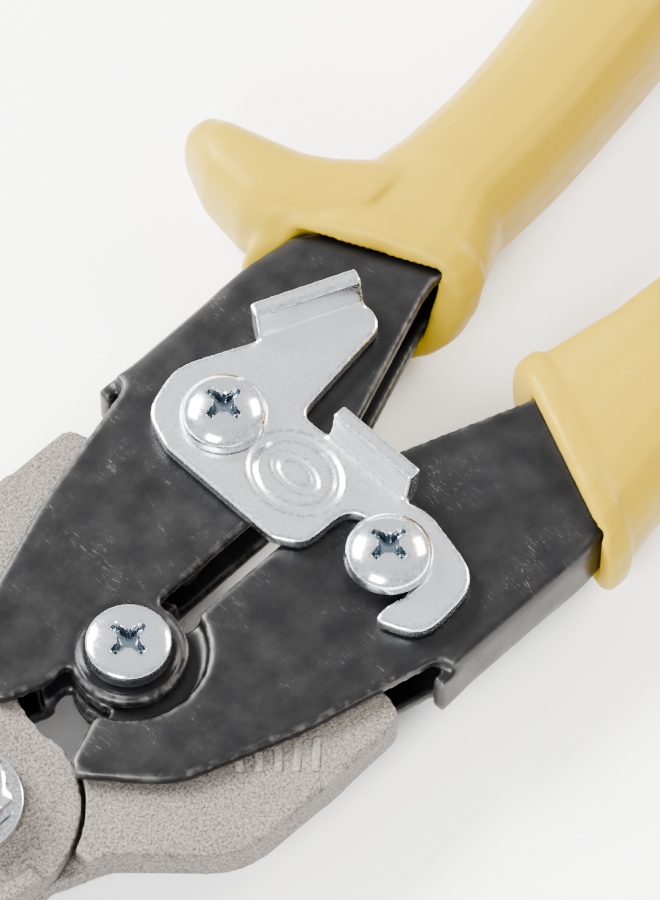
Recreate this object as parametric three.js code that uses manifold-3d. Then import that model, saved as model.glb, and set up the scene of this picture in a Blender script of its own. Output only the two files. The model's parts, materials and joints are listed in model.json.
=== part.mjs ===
// Compound-action aviation snips, closed and latched. Millimetres, +X to the jaw tips, +Z up.
// The origin is on the jaw pivot's axis, at the level of the surface that the snips lie on.
import * as THREE from 'three';
import { mergeVertices } from 'three/addons/utils/BufferGeometryUtils.js';
import Module from 'manifold-3d';

const wasm = await Module();
wasm.setup();

// ---- driving dimensions ----
const SEAT = 0.3;              // gap between stacked or nested pieces
const RUN = 0.3;               // radial clearance of a pin in its hole
const OPEN_PIVOT_RUN = 0.6;    // radial clearance of the left rear pin's bush in the bottom jaw

const MID_Z = 10.5;            // shear plane between the two jaws
const TAIL_THICK = 6;          // thickness of both jaws' tails, and of the two hubs together
const PLATE_THICK = 2;         // steel of the pressed handles

const HANDLE_PIVOT_BACK = 31;  // jaw pivot to handle pivot
const REAR_PIN_BACK = 33;      // handle pivot to the line of the two rear pins
const REAR_PIN_OUT = 15.5;     // a rear pin to the centre line

const HUB_RADIUS = 16;         // round hub of a jaw
const HUB_RING_RADIUS = 12;    // raised ring round the jaw pivot
const HUB_RING_HEIGHT = 0.25;
const BLADE_LENGTH = 62;       // jaw pivot to blade tip
const BLADE_OVERLAP = 0.8;     // each cutting edge past the centre line
const BLADE_TIP_WIDTH = 1.6;   // from the centre line to the back of the tip
const BLADE_EDGE_THICK = 1.1;
const BLADE_BEVEL_WIDTH = 6;
const BLADE_THICK = 4.2;       // shear plane to the outer face of a blade
const BLADE_TIP_THICK = 2.2;
const BLADE_FOOT_RADIUS = 13.4; // flat round face on the hub, where the thicker blade starts
const TAIL_OUT = 32;           // outer edge of a tail
const TAIL_END_BACK = 19.5;    // rear corner of a tail, behind the handle pivot
const TAIL_INNER = 4.6;        // inner edge of a tail
const BOSS_RADIUS = 8.5;       // round a rear pin
const PIVOT_ROOM_RADIUS = 15.8; // round the handle pivot, clear of the tails

const LOBE_RADIUS = 8;         // round eye of a handle at the handle pivot
const LOBE_RECESS_RADIUS = 6.9;
const LOBE_RECESS_DEPTH = 0.7;
const JOGGLE_RADIUS = 10.6;    // round pocket pressed into the handle that lies below
const JOGGLE_WALL = 1.6;
const SLOT_HALF = 2.6;         // half the slot between the handle plates
const PLATE_FRONT = 13;        // front corner of a handle plate, behind the jaw pivot
const CHANNEL_OUT = 32.6;      // outer face of the channel wall
const BEND_START = 28.4;       // front end of the bend from plate to wall, behind the handle pivot
const TORN_END = 25.7;         // torn front end of the wall, ahead of its bends
const TORN_INSET = 1.8;        // of the torn end, below the plate's faces
const STEEL_HALF_WIDTH = 6.5;    // of the channel inside the grip
const STEEL_END = 148;         // rear end of the channel, behind the handle pivot

const GRIP_START = 72;         // where the grip's centre line starts, behind the handle pivot
const GRIP_END = 155;
const GRIP_HALF_HEIGHT = 10.5; // of the palm swell
const GRIP_WAIST_HEIGHT = 9.5; // half height between the lip and the palm swell
const LIP_DEPTH = 4.4;
const LIP_HALF_HEIGHT = 9.2;
// A grip's lip: its middle, half width, slant in plan, slope of its face from bottom to top,
// and drop below the handle. Then the grip's shift outwards and its half width.
const RIGHT_GRIP = {
  lipBack: 63.5, lipOut: 21.9, lipHalf: 15.9, slant: 25, slope: 0.52, drop: 1.1,
  shift: 1.8, half: 9.4,
};
const LEFT_GRIP = {
  lipBack: 61.9, lipOut: 19.8, lipHalf: 17.2, slant: 23.5, slope: 0, drop: -1.1,
  shift: -1.6, half: 11.2,
};
const HORN_OUT = 54.8;
const HORN_BACK = 65.4;
const HORN_HALF_HEIGHT = 8.4;

const SHANK_RADIUS = 2.6;      // rear pins and handle pivot
const BUSH_RADIUS = 4.3;
const SPACER_RADIUS = 5;
const PAN_HEAD_RADIUS = 6;
const PAN_RIM = 0.9;
const PAN_HEIGHT = 3.9;
const PIVOT_HEAD_RADIUS = 5.7;
const PIVOT_HEAD_RIM = 2.4;
const PIVOT_HEAD_HEIGHT = 3.5;
const CROSS_SLOT = { length: 6.2, width: 1.3, depth: 1.9 };
const SMALL_NUT = { acrossFlats: 8, height: 2.8 };
const SMALL_WASHER = { radius: 5, height: 0.8 };
const SMALL_TAIL = 0.4;        // by which a small screw passes its nut

const BOLT_RADIUS = 4;
const BOLT_HEAD = { acrossFlats: 13, height: 4.6 };
const BOLT_WASHER = { radius: 8.5, height: 1.2 };
const LOCK_WASHER = { radius: 7, height: 1.3 };
const BOLT_NUT = { acrossFlats: 13, height: 4.3 };

const LATCH_THICK = 2.2;
const LATCH_TAB_HEIGHT = 4.5;
const THUMB_TAB_LEAN = 1.1;    // by which a tab's top stands outside its foot
const PUSH_TAB_LEAN = 0.7;

const SPRING_RADIUS = 1.9;     // to the outside of the wire
const SPRING_WIRE = 0.33;      // wire radius
const SPRING_TURNS = 11;
const SPRING_POCKET_DEPTH = 4;
const SPRING_ROOM = 0.4;      // round the spring in its pockets

// ---- sizes that follow ----
const PIVOT_X = -HANDLE_PIVOT_BACK;
const PIN_X = PIVOT_X - REAR_PIN_BACK;
const TAIL_TOP = MID_Z + TAIL_THICK / 2;
const PLATE_LOW = TAIL_TOP + SEAT;
const PLATE_TOP = PLATE_LOW + PLATE_THICK;
const JOGGLE_TOP = PLATE_LOW - SEAT;
const JOGGLE_LOW = JOGGLE_TOP - PLATE_THICK;
const LATCH_LOW = PLATE_TOP + SEAT;
const LATCH_TOP = LATCH_LOW + LATCH_THICK;
const under = z => 2 * MID_Z - z;   // the same level on the lower side

// ---- outlines ----
// Points are [behind the handle pivot, out from the centre line, corner radius].
function outline(points) {
  const shape = new THREE.Shape();
  const at = points.map(([behind, out]) => new THREE.Vector2(PIVOT_X - behind, -out));
  points.forEach(([, , radius = 0], i) => {
    const here = at[i];
    const before = at[(i + at.length - 1) % at.length].clone().sub(here);
    const after = at[(i + 1) % at.length].clone().sub(here);
    const half = Math.abs(before.angleTo(after)) / 2;
    const room = 0.49 * Math.min(before.length(), after.length());
    const reach = Math.min(radius / Math.tan(half), room);
    const from = here.clone().addScaledVector(before.normalize(), reach);
    const to = here.clone().addScaledVector(after.normalize(), reach);
    if (i === 0) shape.moveTo(from.x, from.y);
    else shape.lineTo(from.x, from.y);
    if (reach > 0.05) shape.quadraticCurveTo(here.x, here.y, to.x, to.y);
  });
  shape.closePath();
  return shape;
}

// Centre line of a grip, as [behind, out] points of a smooth curve.
const gripCurve = new THREE.SplineCurve([
  new THREE.Vector2(GRIP_START, 20.5),
  new THREE.Vector2(95, 21.5),
  new THREE.Vector2(115, 25),
  new THREE.Vector2(135, 29),
  new THREE.Vector2(GRIP_END, 31),
]);

// Points to one side of the centre line, from one share of its length to another.
function besideGrip(offset, from, to, count) {
  return Array.from({ length: count + 1 }, (_, i) => {
    const u = from + (to - from) * i / count;
    const p = gripCurve.getPointAt(u);
    const t = gripCurve.getTangentAt(u);
    return [p.x - t.y * offset, p.y + t.x * offset];
  });
}

// ---- solids ----
function toSolid(geometry) {
  geometry.deleteAttribute('normal');
  geometry.deleteAttribute('uv');
  const merged = mergeVertices(geometry, 1e-5);
  const index = merged.index.array;
  const vertices = merged.attributes.position.array;
  const triangles = [];
  for (let i = 0; i < index.length; i += 3) {
    const [a, b, c] = index.slice(i, i + 3);
    if (a !== b && b !== c && c !== a) triangles.push(a, b, c);
  }
  return new wasm.Manifold(new wasm.Mesh({
    numProp: 3,
    vertProperties: Float32Array.from(vertices),
    triVerts: Uint32Array.from(triangles),
  }));
}

function toGeometry(solid) {
  const mesh = solid.getMesh();
  const geometry = new THREE.BufferGeometry();
  geometry.setAttribute('position', new THREE.BufferAttribute(mesh.vertProperties, 3));
  geometry.setIndex(new THREE.BufferAttribute(mesh.triVerts, 1));
  return geometry;
}

function slab(shape, low, high, curveSegments = 4) {
  const geometry = new THREE.ExtrudeGeometry(shape, {
    depth: high - low, bevelEnabled: false, curveSegments,
  });
  return toSolid(geometry.translate(0, 0, low));
}

// A body of revolution about a vertical axis: profile points are [radius, z].
function turned(x, y, profile, segments = 20) {
  const points = profile.map(([radius, z]) => new THREE.Vector2(radius, z));
  const geometry = new THREE.LatheGeometry(points, segments);
  return toSolid(geometry.rotateX(Math.PI / 2).translate(x, y, 0));
}

const disc = (x, y, radius, low, high, segments) => turned(x, y,
  [[0, low], [radius, low], [radius, high], [0, high]], segments);
const tube = (x, y, inner, outer, low, high) => turned(x, y,
  [[inner, low], [outer, low], [outer, high], [inner, high], [inner, low]]);

// A straight bar from one point to another: section points are [to the left, up].
function bar(section, from, to) {
  const shape = new THREE.Shape(section.map(([left, up]) => new THREE.Vector2(left, up)));
  const along = to.clone().sub(from);
  const geometry = new THREE.ExtrudeGeometry(shape, { depth: along.length(), bevelEnabled: false });
  const up = new THREE.Vector3(0, 0, 1);
  const ahead = along.normalize();
  const left = up.clone().cross(ahead);
  const turn = new THREE.Matrix4().makeBasis(left, up, ahead).setPosition(from.x, from.y, 0);
  return toSolid(geometry.applyMatrix4(turn));
}

const block = (x, y, z, dx, dy, dz) => toSolid(new THREE.BoxGeometry(dx, dy, dz).translate(x, y, z));

function hexagon(x, y, acrossFlats, low, high, bore) {
  const radius = acrossFlats / Math.sqrt(3);
  const body = turned(x, y, [[0, low], [radius, low], [radius, high], [0, high]], 6);
  const cone = turned(x, y, [
    [0, low - 1], [radius, low - 1], [radius, high - 0.15 * radius], [radius * 0.84, high + 0.1],
    [0, high + 0.1],
  ], 24);
  const nut = body.intersect(cone);
  return bore ? nut.subtract(disc(x, y, bore, low - 1, high + 1)) : nut;
}

// ---- pressed steel handle: the right one, the left one is the same turned over ----
const steelShare = (STEEL_END - GRIP_START) / (GRIP_END - GRIP_START);

// The channel's outer side from its bend to its rear end, and its inner edge back again.
const outerWall = (inset, end = steelShare) => [
  [54, CHANNEL_OUT - inset, 12],
  [64, CHANNEL_OUT - 1.5 - inset, 12],
  ...besideGrip(STEEL_HALF_WIDTH - inset, 0.1, end, 8),
];
const innerEdge = (inset, end = steelShare) => [
  ...besideGrip(inset - STEEL_HALF_WIDTH, 0.1, end, 8).reverse(),
  [67, 11.2 + inset, 14],
];

function channel() {
  const front = PLATE_FRONT - HANDLE_PIVOT_BACK;
  const plan = outline([
    [front + 1.4, 6.3, 1],
    [front, 8.2, 1.4],
    [front + 8.5, 18.4, 14],
    [8, 24.8, 40],
    [BEND_START - 1.3, CHANNEL_OUT - 3, 0.8],
    [BEND_START, CHANNEL_OUT - 2, 0.5],
    [BEND_START, CHANNEL_OUT - 0.4, 0.4],
    ...outerWall(0),
    ...innerEdge(0),
    [44, SLOT_HALF, 22],
    [5, SLOT_HALF],
    [-5, 4.4],
    [front + 7.5, 4.1, 3],
  ]);
  const eye = disc(PIVOT_X, 0, LOBE_RADIUS, PLATE_LOW, PLATE_TOP, 28);
  const top = slab(plan, PLATE_LOW, PLATE_TOP).add(eye)
    .subtract(disc(PIVOT_X, 0, LOBE_RECESS_RADIUS, PLATE_TOP - LOBE_RECESS_DEPTH, PLATE_TOP + 1, 28));

  const joggleLow = under(PLATE_TOP);
  const joggleHigh = under(JOGGLE_LOW);
  const pocketTop = under(JOGGLE_TOP);
  const lowerPlan = slab(plan, joggleLow, joggleHigh);
  const outerDisc = disc(PIVOT_X, 0, JOGGLE_RADIUS + JOGGLE_WALL, joggleLow - 1, joggleHigh + 1, 28);
  const pocket = disc(PIVOT_X, 0, JOGGLE_RADIUS, joggleLow - 1, pocketTop, 28);
  const lowerEye = disc(PIVOT_X, 0, LOBE_RADIUS, pocketTop, joggleHigh, 28);
  const bottom = slab(plan, joggleLow, under(PLATE_LOW))
    .add(lowerPlan.intersect(outerDisc))
    .subtract(pocket)
    .add(lowerEye);

  const wallBody = slab(plan, under(PLATE_TOP), PLATE_TOP);
  const inside = slab(outline([
    [front - 20, -30],
    [front - 20, CHANNEL_OUT + 20],
    [BEND_START, CHANNEL_OUT + 20],
    [BEND_START, CHANNEL_OUT - PLATE_THICK],
    ...outerWall(PLATE_THICK),
    [STEEL_END + 20, CHANNEL_OUT],
    [STEEL_END + 20, -30],
  ]), under(PLATE_TOP) - 1, PLATE_TOP + 1);
  const tornEnd = slab(outline([
    [TORN_END, CHANNEL_OUT - PLATE_THICK],
    [TORN_END, CHANNEL_OUT],
    [BEND_START + 1, CHANNEL_OUT],
    [BEND_START + 1, CHANNEL_OUT - PLATE_THICK],
  ]), under(PLATE_TOP) + TORN_INSET, PLATE_TOP - TORN_INSET);
  let solid = top.add(bottom).add(wallBody.subtract(inside)).add(tornEnd);

  const hole = SHANK_RADIUS + RUN;
  solid = solid.subtract(disc(PIVOT_X, 0, hole, 0, 30));
  return solid.subtract(disc(PIN_X, -REAR_PIN_OUT, hole, 0, 30));
}

// ---- dipped plastic grip: the right one ----
// A rounded bar through sections of [centre, direction, half width, half height].
function loft(sections) {
  const sides = 20;
  const squareness = 2.8;
  const power = v => Math.sign(v) * Math.abs(v) ** (2 / squareness);
  const vertices = [];
  const triangles = [];
  sections.forEach(({ behind, out, angle, width, height, slope = 0, drop = 0 }) => {
    for (let i = 0; i < sides; i++) {
      const turn = 2 * Math.PI * i / sides;
      const across = width * power(Math.cos(turn));
      const up = height * power(Math.sin(turn));
      vertices.push(
        PIVOT_X - behind + across * Math.sin(angle) - slope * up,
        -out - across * Math.cos(angle),
        MID_Z - drop + up);
    }
  });
  const ring = (k, i) => k * sides + i % sides;
  for (let k = 0; k + 1 < sections.length; k++) {
    for (let i = 0; i < sides; i++) {
      triangles.push(ring(k, i), ring(k + 1, i + 1), ring(k + 1, i));
      triangles.push(ring(k, i), ring(k, i + 1), ring(k + 1, i + 1));
    }
  }
  for (let i = 1; i + 1 < sides; i++) {
    const last = sections.length - 1;
    triangles.push(ring(0, 0), ring(0, i + 1), ring(0, i));
    triangles.push(ring(last, 0), ring(last, i), ring(last, i + 1));
  }
  const geometry = new THREE.BufferGeometry();
  geometry.setAttribute('position', new THREE.Float32BufferAttribute(vertices, 3));
  geometry.setIndex(triangles);
  return toSolid(geometry);
}

function grip({ lipBack, lipOut, lipHalf, slant, slope, drop, shift, half }) {
  const radians = slant * Math.PI / 180;
  const lip = loft([[0, 0.7], [0.6, 0], [LIP_DEPTH - 0.7, 0], [LIP_DEPTH, 0.5]].map(([back, inset]) => ({
    behind: lipBack + back, out: lipOut, angle: radians, slope, drop,
    width: lipHalf - inset, height: LIP_HALF_HEIGHT - inset,
  })));

  const palm = u => Math.exp(-(((u - 0.62) / 0.2) ** 2));
  const steps = 14;
  const along = Array.from({ length: steps + 1 }, (_, i) => {
    const u = 0.14 + 0.86 * i / steps;
    const p = gripCurve.getPointAt(u);
    const t = gripCurve.getTangentAt(u);
    const swell = (GRIP_HALF_HEIGHT - GRIP_WAIST_HEIGHT) * palm(u);
    const lift = shift * (1 - u);
    return {
      behind: p.x, out: p.y + lift, angle: Math.atan2(t.y, t.x),
      width: half + 0.4 * swell, height: GRIP_WAIST_HEIGHT + swell,
    };
  });
  const neck = [[2, 1, 0.955], [6, 0.8, 0.87], [10.5, 0.5, 0.79]].map(([back, share, width]) => ({
    behind: lipBack + back, out: lipOut - 0.04 * back, angle: radians * share,
    slope: slope * share, drop: drop * share,
    width: lipHalf * width, height: LIP_HALF_HEIGHT - 0.5,
  }));
  const rear = along[steps];
  const cap = [[1.6, 0.94], [2.7, 0.8], [3.3, 0.55]].map(([past, share]) => ({
    ...rear, behind: rear.behind + past, width: rear.width * share, height: rear.height * share,
  }));
  return lip.add(loft([...neck, ...along, ...cap]));
}

// Thumb horn on the outer side of the right grip: [out, behind its middle, half width, height share].
const horn = () => loft([
  [26, 10.2, 9.2, 1.04], [31, 5.4, 8.6, 1.02], [35, 2.2, 7.9, 1.02], [39, 0.4, 7, 1], [43, 0, 6, 0.97],
  [47, -0.3, 5.2, 0.9], [50, 0, 4.2, 0.8], [HORN_OUT - 1.6, 0.2, 3, 0.6], [HORN_OUT, 0.3, 1.2, 0.28],
].map(([out, back, width, share]) => ({
  behind: HORN_BACK + back, out, angle: Math.PI / 2, width, height: HORN_HALF_HEIGHT * share,
})));

// Room for the channel inside a grip.
const steelRoom = () => slab(outline([
  [40, CHANNEL_OUT + SEAT],
  ...outerWall(-SEAT, steelShare + 0.006),
  ...innerEdge(-SEAT, steelShare + 0.006),
  [48, SLOT_HALF + 0.8],
  [40, SLOT_HALF],
]), under(PLATE_TOP + SEAT), PLATE_TOP + SEAT);

// ---- forged jaw: the top one, the bottom one is the same turned over ----
function jaw(pinClearance) {
  const halfGap = SEAT / 2;
  const out = -PIVOT_X;   // the jaw pivot in outline points lies this far ahead of the handle pivot
  const bladeTop = MID_Z + BLADE_THICK;
  const blade = slab(outline([
    [-out, BLADE_OVERLAP + 0.4],
    [-out - BLADE_LENGTH + 0.6, BLADE_OVERLAP * 0.6, 0.3],
    [-out - BLADE_LENGTH, -BLADE_TIP_WIDTH, 1],
    [-out - 0.72 * BLADE_LENGTH, -0.46 * HUB_RADIUS, 30],
    [-out - 0.3 * BLADE_LENGTH, -0.9 * HUB_RADIUS, 30],
    [-out, -HUB_RADIUS + 0.1],
  ]), MID_Z + halfGap, bladeTop).subtract(disc(0, 0, BLADE_FOOT_RADIUS, TAIL_TOP, bladeTop + 1, 36));
  const hub = disc(0, 0, HUB_RADIUS, MID_Z + halfGap, TAIL_TOP, 36);
  const ring = tube(0, 0, HUB_RING_RADIUS - 0.5, HUB_RING_RADIUS, TAIL_TOP - 0.5, TAIL_TOP + HUB_RING_HEIGHT);

  const tailPlan = outline([
    [-out + 0.5, 3],
    [-out + 0.5, HUB_RADIUS - 0.3, 4],
    [-22, 19, 6],
    [-10, TAIL_OUT - 0.5, 12],
    [6, TAIL_OUT, 20],
    [TAIL_END_BACK, TAIL_OUT - 0.3, 3],
    [TAIL_END_BACK + 1, REAR_PIN_OUT + 9, 6],
    [REAR_PIN_BACK - 2, REAR_PIN_OUT + BOSS_RADIUS, 3],
    [REAR_PIN_BACK, REAR_PIN_OUT],
    [REAR_PIN_BACK - 2, REAR_PIN_OUT - BOSS_RADIUS, 3],
    [15, TAIL_INNER, 6],
    [2, TAIL_INNER],
  ]);
  const hubRoom = disc(0, 0, HUB_RADIUS + 2 * SEAT, 0, MID_Z + halfGap, 36);
  const frontRoom = block(BLADE_LENGTH / 2 - 6, 0, MID_Z / 2 + halfGap / 2, BLADE_LENGTH, 90, MID_Z + halfGap);
  const boss = disc(PIN_X, -REAR_PIN_OUT, BOSS_RADIUS, under(TAIL_TOP), TAIL_TOP, 28);
  const tail = slab(tailPlan, under(TAIL_TOP), TAIL_TOP).add(boss)
    .subtract(hubRoom)
    .subtract(frontRoom);

  // bevel along the cutting edge, and a tip that thins towards its end
  const bevelCut = bar([
    [-BLADE_OVERLAP - 3, bladeTop + 2],
    [-BLADE_OVERLAP - 3, MID_Z + BLADE_EDGE_THICK],
    [-BLADE_OVERLAP, MID_Z + BLADE_EDGE_THICK],
    [-BLADE_OVERLAP + BLADE_BEVEL_WIDTH, bladeTop + 0.05],
    [-BLADE_OVERLAP + BLADE_BEVEL_WIDTH, bladeTop + 2],
  ], new THREE.Vector3(HUB_RADIUS - 2, 0, 0), new THREE.Vector3(BLADE_LENGTH + 4, 0, 0));
  const thinningCut = bar([
    [BLADE_LENGTH * 0.4, bladeTop + 0.02],
    [BLADE_LENGTH + 2, MID_Z + BLADE_TIP_THICK],
    [BLADE_LENGTH + 2, bladeTop + 2],
    [BLADE_LENGTH * 0.4, bladeTop + 2],
  ].map(([x, z]) => [-x, z]), new THREE.Vector3(0, -30, 0), new THREE.Vector3(0, 30, 0));

  let solid = hub.add(blade.subtract(bevelCut).subtract(thinningCut)).add(tail)
    .subtract(disc(PIVOT_X, 0, PIVOT_ROOM_RADIUS, 0, 30, 36));
  solid = solid.add(ring);
  solid = solid.subtract(disc(0, 0, BOLT_RADIUS + RUN, 0, 30));
  solid = solid.subtract(disc(PIN_X, -REAR_PIN_OUT, BUSH_RADIUS + pinClearance, 0, 30, 28));
  const pocketEnd = REAR_PIN_OUT - BOSS_RADIUS + SPRING_POCKET_DEPTH;
  const pocket = new THREE.CylinderGeometry(
    SPRING_RADIUS + SPRING_ROOM, SPRING_RADIUS + SPRING_ROOM, pocketEnd, 28);
  return solid.subtract(toSolid(pocket.translate(PIN_X, -pocketEnd / 2, MID_Z)));
}

// ---- latch ----
function latch() {
  const plan = outline([
    [REAR_PIN_BACK - 8.7, REAR_PIN_OUT + 2.4, 5],
    [REAR_PIN_BACK - 6.6, REAR_PIN_OUT + 8.2, 5],
    [REAR_PIN_BACK + 1, REAR_PIN_OUT + 10.6, 8],
    [REAR_PIN_BACK + 11.9, REAR_PIN_OUT + 5.6],
    [REAR_PIN_BACK + 26.8, REAR_PIN_OUT - 0.7, 1.6],
    [REAR_PIN_BACK + 25.6, REAR_PIN_OUT - 4.6, 3],
    [REAR_PIN_BACK + 7.6, REAR_PIN_OUT - 6.9, 5],
    [REAR_PIN_BACK + 8, REAR_PIN_OUT - 11.4],
    [REAR_PIN_BACK + 8, -REAR_PIN_OUT + 4.6],
    [REAR_PIN_BACK + 8.9, -REAR_PIN_OUT + 1, 6],
    [REAR_PIN_BACK + 6.2, -REAR_PIN_OUT - 11, 6],
    [REAR_PIN_BACK - 5.4, -REAR_PIN_OUT - 11.6, 5],
    [REAR_PIN_BACK - 8.2, -REAR_PIN_OUT - 5, 1.6],
    [REAR_PIN_BACK - 5.2, -REAR_PIN_OUT - 4.9, 1],
    [REAR_PIN_BACK - 2.6, -REAR_PIN_OUT - 5.6, 2],
    [REAR_PIN_BACK + 4, -REAR_PIN_OUT - 4.2, 3],
    [REAR_PIN_BACK + 3.4, -REAR_PIN_OUT + 1, 3],
    [REAR_PIN_BACK + 1.8, -REAR_PIN_OUT + 9.2, 3],
    [REAR_PIN_BACK - 6.4, -REAR_PIN_OUT + 9.4, 5],
    [REAR_PIN_BACK - 8.7, -REAR_PIN_OUT + 13.5, 2],
  ]);
  const tabSection = lean => [
    [-1.2, LATCH_LOW],
    [LATCH_THICK - 1.8, LATCH_LOW],
    [LATCH_THICK - 0.7, LATCH_LOW + 0.35],
    [LATCH_THICK - 0.1, LATCH_LOW + 1.1],
    [LATCH_THICK + 0.2, LATCH_TOP],
    [LATCH_THICK + lean, LATCH_TOP + LATCH_TAB_HEIGHT],
    [lean, LATCH_TOP + LATCH_TAB_HEIGHT],
    [0.2, LATCH_TOP + 1.2],
    [-0.1, LATCH_TOP + 0.5],
    [-0.6, LATCH_TOP + 0.1],
    [-1.2, LATCH_TOP],
  ];
  const at = (behind, out) => new THREE.Vector3(PIVOT_X - behind, -out, 0);
  const thumbTab = bar(tabSection(THUMB_TAB_LEAN),
    at(REAR_PIN_BACK + 12, REAR_PIN_OUT + 5.5), at(REAR_PIN_BACK + 26.2, REAR_PIN_OUT - 0.6));
  const pushTab = bar(tabSection(PUSH_TAB_LEAN),
    at(REAR_PIN_BACK + 8, REAR_PIN_OUT - 12), at(REAR_PIN_BACK + 8, -REAR_PIN_OUT + 4.7));
  return slab(plan, LATCH_LOW, LATCH_TOP).add(thumbTab).add(pushTab)
    .subtract(disc(PIN_X, -REAR_PIN_OUT, SHANK_RADIUS + RUN, 0, 28));
}

// ---- screws, nuts and washers ----
function crossSlot(x, y, top) {
  const { length, width, depth } = CROSS_SLOT;
  const z = top - depth / 2 + 0.5;
  return block(x, y, z, length, width, depth + 1).add(block(x, y, z, width, length, depth + 1));
}

function headedScrew(x, y, headRadius, rim, height, seat, end) {
  const steps = 4;
  const dome = Array.from({ length: steps + 1 }, (_, i) => {
    const angle = Math.PI / 2 * i / steps;
    return [headRadius * Math.cos(angle), seat + rim + (height - rim) * Math.sin(angle)];
  });
  dome[steps][0] = 0;
  const body = turned(x, y, [
    [0, end], [SHANK_RADIUS - 0.4, end], [SHANK_RADIUS, end + 0.4], [SHANK_RADIUS, seat],
    [headRadius - 0.2, seat], [headRadius, seat + 0.3], ...dome,
  ]);
  return body.subtract(crossSlot(x, y, seat + height));
}

// Levels of a washer, a nut and the screw's end below a face.
function stackBelow(face) {
  const washerTop = face - SEAT;
  const nutTop = washerTop - SMALL_WASHER.height - SEAT;
  const nutLow = nutTop - SMALL_NUT.height;
  return { washerTop, nutTop, nutLow, end: nutLow - SMALL_TAIL };
}

const washerAt = (x, y, { radius, height }, bore, top) => tube(x, y, bore, radius, top - height, top);

function returnSpring() {
  const half = REAR_PIN_OUT - BOSS_RADIUS + SPRING_POCKET_DEPTH - SEAT - SPRING_WIRE;
  const helix = new (class extends THREE.Curve {
    getPoint(t) {
      const angle = 2 * Math.PI * SPRING_TURNS * t;
      const radius = SPRING_RADIUS - SPRING_WIRE;
      return new THREE.Vector3(
        PIN_X + radius * Math.cos(angle), half * (2 * t - 1), MID_Z + radius * Math.sin(angle));
    }
  })();
  const section = new THREE.Shape();
  section.absarc(0, 0, SPRING_WIRE, 0, 2 * Math.PI);
  return toSolid(new THREE.ExtrudeGeometry(section, {
    extrudePath: helix, steps: SPRING_TURNS * 10, curveSegments: 3, bevelEnabled: false,
  }));
}

// ---- materials ----
const material = (color, roughness, metalness) =>
  new THREE.MeshStandardMaterial({ color, roughness, metalness });
const blackSteel = material(0x26262a, 0.45, 0.6);
const forgedSteel = material(0x9c9084, 0.6, 0.7);
const zinc = material(0xc9ced2, 0.3, 0.9);
const yellowPlastic = material(0xf5cf48, 0.55, 0);
const springSteel = material(0x8b8d90, 0.35, 0.9);

function piece(name, solid, look) {
  const mesh = new THREE.Mesh(toGeometry(solid), look);
  mesh.name = name;
  return mesh;
}

const snips = new THREE.Group();
const turnedOver = new THREE.Group();
turnedOver.rotation.x = Math.PI;
turnedOver.position.z = 2 * MID_Z;
snips.add(turnedOver);

snips.add(piece('right_channel', channel(), blackSteel));
turnedOver.add(piece('left_channel', channel(), blackSteel));
snips.add(piece('right_grip', grip(RIGHT_GRIP).add(horn()).subtract(steelRoom()), yellowPlastic));
turnedOver.add(piece('left_grip', grip(LEFT_GRIP).subtract(steelRoom()), yellowPlastic));
snips.add(piece('top_jaw', jaw(RUN), forgedSteel));
turnedOver.add(piece('bottom_jaw', jaw(OPEN_PIVOT_RUN), forgedSteel));
snips.add(piece('latch', latch(), zinc));
snips.add(piece('return_spring', returnSpring(), springSteel));

// handle pivot, between the eyes of the two handles
const pivotSeat = PLATE_TOP - LOBE_RECESS_DEPTH + SEAT;
const pivotStack = stackBelow(under(PLATE_TOP) + LOBE_RECESS_DEPTH);
snips.add(piece('handle_pivot_screw', headedScrew(PIVOT_X, 0,
  PIVOT_HEAD_RADIUS, PIVOT_HEAD_RIM, PIVOT_HEAD_HEIGHT, pivotSeat, pivotStack.end), zinc));
snips.add(piece('handle_pivot_spacer', tube(PIVOT_X, 0, SHANK_RADIUS + RUN, SPACER_RADIUS,
  under(JOGGLE_LOW) + SEAT, JOGGLE_LOW - SEAT), zinc));
snips.add(piece('handle_pivot_washer', washerAt(PIVOT_X, 0,
  SMALL_WASHER, SHANK_RADIUS + RUN, pivotStack.washerTop), zinc));
snips.add(piece('handle_pivot_nut', hexagon(PIVOT_X, 0, SMALL_NUT.acrossFlats,
  pivotStack.nutLow, pivotStack.nutTop, SHANK_RADIUS + RUN), zinc));

// rear pins: the right one carries the latch, the left one is the stud that the latch hooks
const pinStack = stackBelow(under(PLATE_TOP));
[['latch_pivot', -REAR_PIN_OUT], ['latch_stud', REAR_PIN_OUT]].forEach(([name, y]) => {
  snips.add(piece(`${name}_screw`, headedScrew(PIN_X, y,
    PAN_HEAD_RADIUS, PAN_RIM, PAN_HEIGHT, LATCH_TOP + SEAT, pinStack.end), zinc));
  snips.add(piece(`${name}_bush`, tube(PIN_X, y, SHANK_RADIUS + RUN, BUSH_RADIUS,
    under(TAIL_TOP), TAIL_TOP), zinc));
  snips.add(piece(`${name}_washer`, washerAt(PIN_X, y,
    SMALL_WASHER, SHANK_RADIUS + RUN, pinStack.washerTop), zinc));
  snips.add(piece(`${name}_nut`, hexagon(PIN_X, y, SMALL_NUT.acrossFlats,
    pinStack.nutLow, pinStack.nutTop, SHANK_RADIUS + RUN), zinc));
});

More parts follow.
